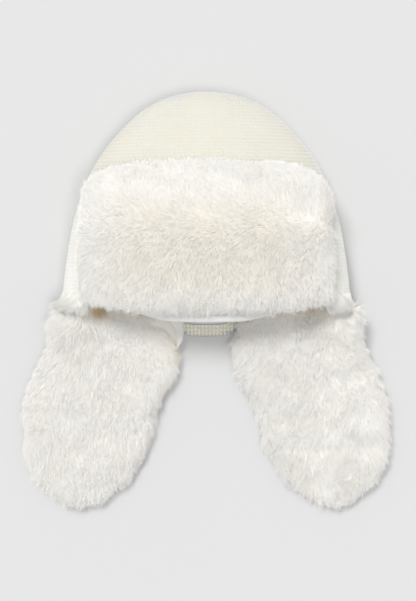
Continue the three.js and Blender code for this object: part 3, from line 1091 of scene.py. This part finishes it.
# %% The way of each hair
TURNS = ((60 * MM, 0.5), (24 * MM, 0.3))
SHIFT_WAVE = 32 * MM
SHIFT = 0.15
LEAST_LEAN = 0.42


def hair_flow(places, normals, combed, seed, rng, pull):
    """The lean of each hair along the ground, from 0 upright to about 1."""
    flow = combed(places)
    turn = sum(wavy(places, wave, seed + k) * share for k, (wave, share) in enumerate(TURNS))
    cosine, sine = np.cos(turn), np.sin(turn)
    x, y = flow[:, 0].copy(), flow[:, 1].copy()
    flow[:, 0] = x * cosine - y * sine + SHIFT * wavy(places, SHIFT_WAVE, seed + 2)
    flow[:, 1] = x * sine + y * cosine + SHIFT * wavy(places, SHIFT_WAVE, seed + 3)
    flow += tufts(places, rng, pull)
    flow -= normals * np.sum(flow * normals, axis=1, keepdims=True)
    lean = np.linalg.norm(flow, axis=1, keepdims=True)
    return flow * (np.maximum(lean, LEAST_LEAN) / np.maximum(lean, 1e-9))


# %% Growth
ROOT_DEPTH = 1.5 * MM
TIP_ABOVE_FLOOR = 0.3 * MM
LENGTH_WAVE = 16 * MM
OWN_NORMAL = 0.15
EVENNESS = 3
PULL = 0.12


def grow(name, ground, hair, size, comb, seed, hidden, length_at=None, pull=PULL, finish=white_pile):
    """Hair on a ground. The size is its count, length and width, and the comb its lean and warmth."""
    count, length, width = size
    combed, warmth_at = comb
    rng = np.random.default_rng(seed)
    batches = []
    while sum(len(batch) for batch in batches) < count:
        places, normals = scattered(ground.data, count * 2, rng)
        batches.append(np.stack([places, normals], axis=1)[~hidden(places, normals)])
    places, normals = np.concatenate(batches)[:count].transpose(1, 0, 2)
    flow = hair_flow(places, normals, combed, seed, rng, pull)
    start = unit(normals + flow * 1.1 + rng.normal(0, 0.09, (count, 3)))
    bend = flow * 0.45 + rng.normal(0, 0.06, (count, 3))
    patchy = (1 + 0.12 * wavy(places, LENGTH_WAVE, seed + 4))[:, None]
    lengths = length * rng.uniform(0.8, 1.12, (count, 1)) * patchy
    if length_at:
        lengths = lengths * length_at(places)[:, None]
    tips = places + (start + bend) * lengths - start * ROOT_DEPTH
    bend[:, 2] += np.maximum(0, TIP_ABOVE_FLOOR - tips[:, 2]) / lengths[:, 0]
    widths = width * rng.uniform(0.75, 1.25, count)
    facing = normals + rng.normal(0, 0.4, (count, 3))
    bases = along_basis(start * lengths, facing, widths, widths)
    mesh = joined_copies(name, hair, places - start * ROOT_DEPTH, bases, bend * lengths)
    per = len(hair[0])
    warmth = np.clip(warmth_at(places) + rng.uniform(-0.08, 0.08, count), 0, 1)
    held = {"along": np.tile(hair[0][:, 2], count), "warmth": np.repeat(warmth, per)}
    for key, values in held.items():
        mesh.attributes.new(key, "FLOAT", "POINT").data.foreach_set("value", values.astype(np.float32))
    shared = np.repeat(unit(normals + flow * 0.2 + [0, 0, EVENNESS]), per, axis=0)
    soft = unit(read_points(mesh, "normal") * OWN_NORMAL + shared)
    mesh.normals_split_custom_set_from_vertices(soft.tolist())
    add_piece(name, mesh, finish, "white_fur")


# %% [markdown]
# ## Hair of the front flap
# The pile is combed up above a parting and down over the fringe, and is clipped shorter towards the
# top. Hair without tufts makes the fringe.

# %% Hair of the front flap
FRONT_DOWN = (45000, 8 * MM, 0.78 * MM)
FRONT_GUARD = (12000, 10 * MM, 0.42 * MM)
FRINGE = (2500, 9 * MM, 0.45 * MM)
PARTING = 0.2
LEFT_END = 0.55
RIGHT_END = 0.74


def front_comb(places):
    """Up above a parting and down below it, outwards at both ends, and aside in the middle."""
    u, v = flap_shares(places)
    above = v - PARTING
    outwards = eased(u, RIGHT_END, 1) - eased(-u, LEFT_END, 1)
    aside = -0.75 * np.exp(-((above / 0.5) ** 2)) * (1 - eased(np.abs(u), RIGHT_END, 1))
    across = aside + 0.8 * outwards
    along = 0.45 * above + 0.65 * np.tanh(above / 0.25)
    return level_steps(across, along)


def front_length(places):
    """The pile is clipped shorter towards the top edge."""
    return 1 - 0.35 * eased(flap_shares(places)[1], 0.4, 1)


def under_front(places, normals):
    """True on the side that lies on the crown."""
    outward = unit(places * [1, 0, 1])
    return np.sum(normals * outward, axis=1) < -0.3


def front_warmth(places):
    """The middle of the flap shows more of the warm undertone, and its rim the least."""
    u, v = flap_shares(places)
    middle = (1 - eased(np.abs(u), 0.4, 0.85)) * (1 - eased(v, 0.25, 0.7)) * (1 - eased(-v, 0.35, 0.85))
    return 0.03 + 0.26 * middle


def not_fringe(places, normals):
    """True away from the flap's lower edge."""
    return (normals[:, 1] > -0.35) | under_front(places, normals)


front = (front_comb, front_warmth)
grow("front_down", front_ground, DOWN, FRONT_DOWN, front, 11, under_front, front_length)
grow("front_guard_hair", front_ground, GUARD, FRONT_GUARD, front, 12, under_front, front_length)
grow("front_fringe", front_ground, GUARD, FRINGE, front, 13, not_fringe, pull=0)


# %% [markdown]
# ## Hair of the ear flaps
# The pile runs down each flap and fans outwards at its edges. None grows where the seam's rolls lie.
# Where it parts at the seam, it is shorter and tan roots show; their tan is partly painted shade.

# %% Hair of the ear flaps
EAR_DOWN = (28000, 7.5 * MM, 0.74 * MM)
EAR_GUARD = (8000, 10 * MM, 0.42 * MM)
EAR_HALF_WIDTH = 58 * MM
SHOULDER = 30 * MM
BINDING_REACH = 8.5 * MM
# Tan patches at the rim's corners: partly the roots' tan, partly painted shade in the corner.
TAN_AND_SHADE_PATCHES = ((-97, -9, 8.5, 0.45), (106, -9, 14, 0.12), (39, -16, 2.5, 0.9))


def ear_comb(side):
    """The comb of one ear flap, as a function of the places on it."""
    outward = OUTWARD[side]

    def combed(places):
        """Down the flap, and outwards more and more towards its edges and its outer shoulder."""
        middle, down = ear_middle(side, places)
        u = np.clip((places[:, 0] - middle) / EAR_HALF_WIDTH, -1, 1)
        level = np.exp(-(((-places[:, 1] - SHOULDER) / SHOULDER) ** 2))
        shoulder = np.clip(u * outward, 0, 1) ** 2 * level
        across = u * np.abs(u) * 0.9 + outward * 0.4 * shoulder
        along = (-0.85 - 0.3 * down) * (1 - 0.5 * shoulder)
        return level_steps(across, along)

    return combed


def gap_to_roll(places, path):
    """The distance of each place from a roll's path, seen from above, and the roll's thickness there."""
    share = np.linspace(0, len(path) - 1, 40)
    line = at_lengths(share, range(len(path)), np.array(path) * MM)
    gaps = np.sqrt(((places[:, None, :2] - line[None]) ** 2).sum(2))
    thickness = 1 - ROLL_TAPER * share[gaps.argmin(1)] / (len(path) - 1)
    return gaps.min(1), thickness


def under_ear(places, normals):
    """True on the side that lies on the knitted panel, and where the seam is bound."""
    bound = np.zeros(len(places), bool)
    for path in (OUTER_ROLL, INNER_ROLL):
        gap, thickness = gap_to_roll(places, path)
        bound |= gap < BINDING_REACH * thickness
    return (normals[:, 2] < -0.35) | bound


def tan_and_shade_patches(places):
    """How tan the roots are, as round patches that fade outwards; partly painted shade."""
    total = 0
    for x, y, reach, strength in TAN_AND_SHADE_PATCHES:
        gap = (places[:, 0] - x * MM) ** 2 + (places[:, 1] - y * MM) ** 2
        total = total + strength * np.exp(-(gap / (reach * MM) ** 2))
    return total


def ear_warmth_and_shade(places):
    """Tan where the pile parts at the seam and by the outer roll: partly real roots, partly painted
    shade.
    """
    seam = eased(places[:, 1], -19 * MM, -8 * MM) * (1 - eased(np.abs(places[:, 0]), 95 * MM, 115 * MM))
    uneven = np.clip(0.6 + 0.4 * wavy(places, 26 * MM, 61), 0, 1)
    binding = np.exp(-((gap_to_roll(places, OUTER_ROLL)[0] / (8 * MM)) ** 2))
    return 0.04 + 0.5 * seam * uneven + 0.45 * binding + tan_and_shade_patches(places)


def ear_length(places):
    """Shorter where the tan patches, partly painted shade, lie."""
    return 1 - 0.2 * np.clip(tan_and_shade_patches(places), 0, 1)


for side, seed in (("left", 21), ("right", 31)):
    ear = (ear_comb(side), ear_warmth_and_shade)
    ground = ear_grounds[side]
    grow(f"ear_down_{side}", ground, DOWN, EAR_DOWN, ear, seed, under_ear, ear_length)
    grow(f"ear_guard_hair_{side}", ground, GUARD, EAR_GUARD, ear, seed + 1, under_ear, ear_length)

# %% [markdown]
# ## Hair at the corners of the crown's rim
# Pile hangs over the outer corners of the rim. It is rooted on the crown's outer wall behind an uneven
# line, longer and finer, and its colour is a little darker: painted shade for the shade of the ear
# flaps' roots.

# %% Hair at the rim's corners
RIM_HAIR = (3600, 12 * MM, 0.55 * MM)
RIM_CORNER = 102 * MM
RIM_LEVEL = 18 * MM
RIM_ASIDE = 0.3
RIM_DOWNWARD = -1.2
RAGGED_FROM = 2.5 * MM
RAGGED_BY = 4.5 * MM
RAGGED_WAVE = 0.5 * MM


def rim_comb(places):
    """Outwards and down over the corner between the crown and an ear flap."""
    across = np.sign(places[:, 0]) * RIM_ASIDE
    along = np.full(len(places), RIM_DOWNWARD)
    return level_steps(across, along)


def off_rim_corner(places, normals):
    """True away from the outer side of the rim's two corners."""
    outward = unit((places - [0, 0, CROWN_AXIS_HEIGHT]) * [1, 0, 1])
    inner_wall = np.sum(normals * outward, axis=1) < -0.3
    ragged = RAGGED_FROM + RAGGED_BY * wavy(places, RAGGED_WAVE, 43)
    off_line = (places[:, 1] > ragged) | (np.abs(places[:, 0]) < RIM_CORNER)
    return off_line | (places[:, 2] < RIM_LEVEL) | inner_wall


def rim_warmth_and_shade(places):
    """Nearly white, apart from the tan patches, which are partly painted shade."""
    return 0.04 + 0.3 * tan_and_shade_patches(places)


rim = (rim_comb, rim_warmth_and_shade)
grow("rim_hair", crown_cloth, DOWN, RIM_HAIR, rim, 41, off_rim_corner, finish=rim_painted_shade_pile)

# %% [markdown]
# ## Floor
# A pale matt card below the hat catches its soft shadows.

# %% Floor
FLOOR_SIZE = 12
FLOOR_PATCHES = 3
FLOOR_LOW = (0.598, 0.598, 0.599)
FLOOR_HIGH = (0.604, 0.604, 0.605)

floor_finish, floor_add, floor_link = new_finish("floor_card", roughness=0.95, sheen=0)
floor_share = place_noise(floor_add, FLOOR_PATCHES)
floor_link(two_colours(floor_add, floor_share, FLOOR_LOW, FLOOR_HIGH), "Base Color")
card = bmesh.new()
bmesh.ops.create_grid(card, x_segments=1, y_segments=1, size=FLOOR_SIZE / 2)
bmesh.ops.translate(card, verts=card.verts, vec=(0, 0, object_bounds()[0].z))
floor_mesh = bpy.data.meshes.new("floor")
card.to_mesh(floor_mesh)
card.free()
floor_mesh.materials.append(floor_finish)
linked("floor", floor_mesh)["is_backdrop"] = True

# %% Sizes
low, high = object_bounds()
below = [round(v / MM, 1) for v in cad_low - low]
above = [round(v / MM, 1) for v in high - cad_high]
print("proud of the solids by", below, "and", above, "mm")
